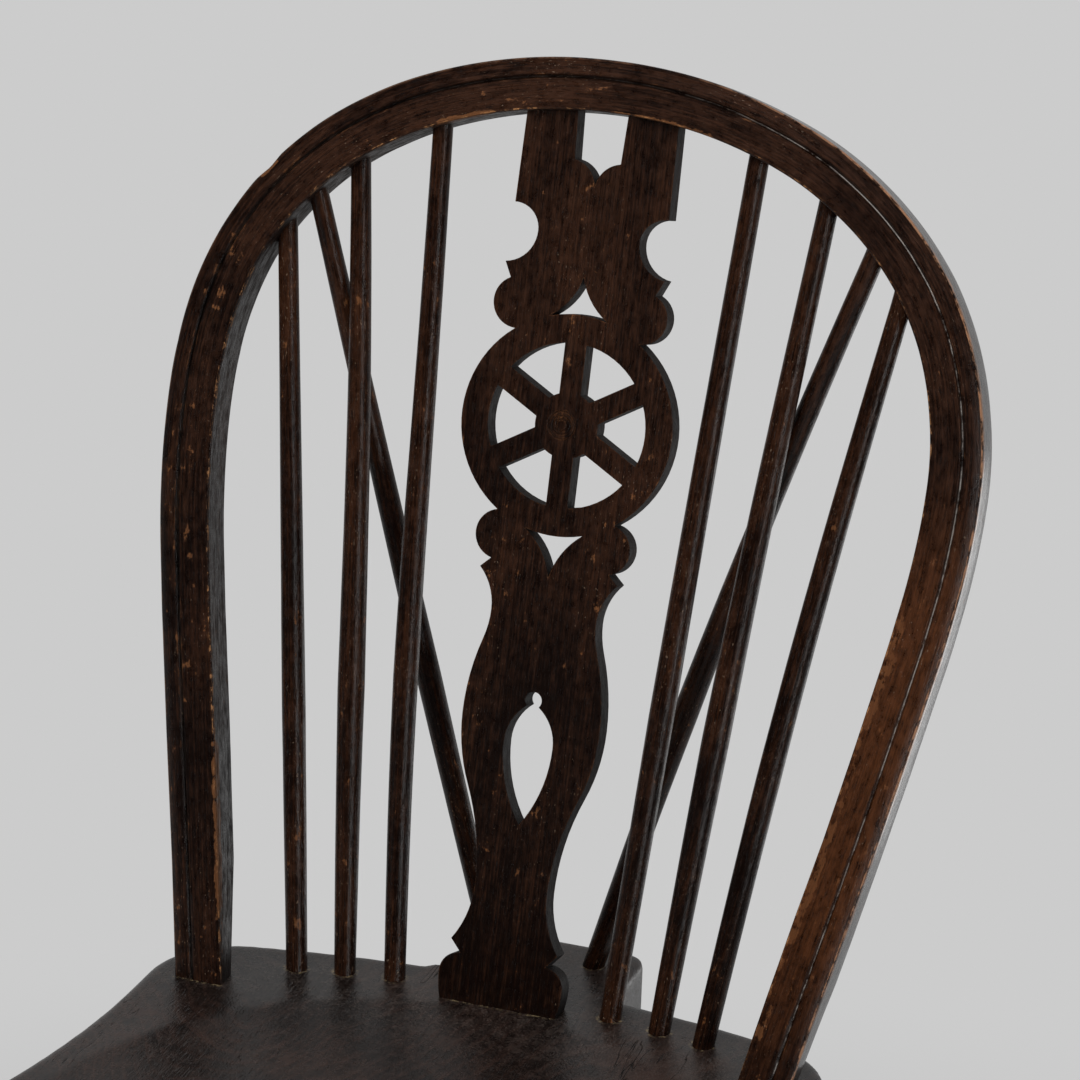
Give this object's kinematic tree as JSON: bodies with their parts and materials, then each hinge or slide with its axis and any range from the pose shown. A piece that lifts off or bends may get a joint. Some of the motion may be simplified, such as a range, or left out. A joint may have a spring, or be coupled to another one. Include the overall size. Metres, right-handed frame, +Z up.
{
  "type": "wheelback chair",
  "caption": "Wooden side chair with a saddled seat, a bent hoop back, a pierced wheel splat between slender sticks, two rear braces and turned legs with stretchers.",
  "frame": {"origin": "middle of the chair's bounding box, on the floor it stands on", "axes": "+Z up, -Y the way the sitter faces, +X the right side as seen from the front"},
  "size_m": [0.4242, 0.5243, 0.8907],
  "materials": {
    "elm_seat": "dark stained and waxed elm",
    "bent_hoop": "dark stained and waxed beech, worn at the arrises",
    "pierced_splat": "dark stained and waxed beech, sawn edges greyer",
    "turned_spindle": "dark stained and waxed beech, turned",
    "turned_leg": "dark stained and waxed beech, turned",
    "joint_wedge": "dark stained end grain"
  },
  "bodies": {
    "root": {"cross_stretcher": "turned_leg", "hoop": "bent_hoop", "left_brace": "turned_spindle", "left_front_leg": "turned_leg", "left_hoop_wedge": "joint_wedge", "left_inner_stick": "turned_spindle", "left_middle_stick": "turned_spindle", "left_outer_stick": "turned_spindle", "left_rear_leg": "turned_leg", "left_stretcher": "turned_leg", "right_brace": "turned_spindle", "right_front_leg": "turned_leg", "right_hoop_wedge": "joint_wedge", "right_inner_stick": "turned_spindle", "right_middle_stick": "turned_spindle", "right_outer_stick": "turned_spindle", "right_rear_leg": "turned_leg", "right_stretcher": "turned_leg", "seat": "elm_seat", "splat": "pierced_splat"}
  },
  "joints": []
}
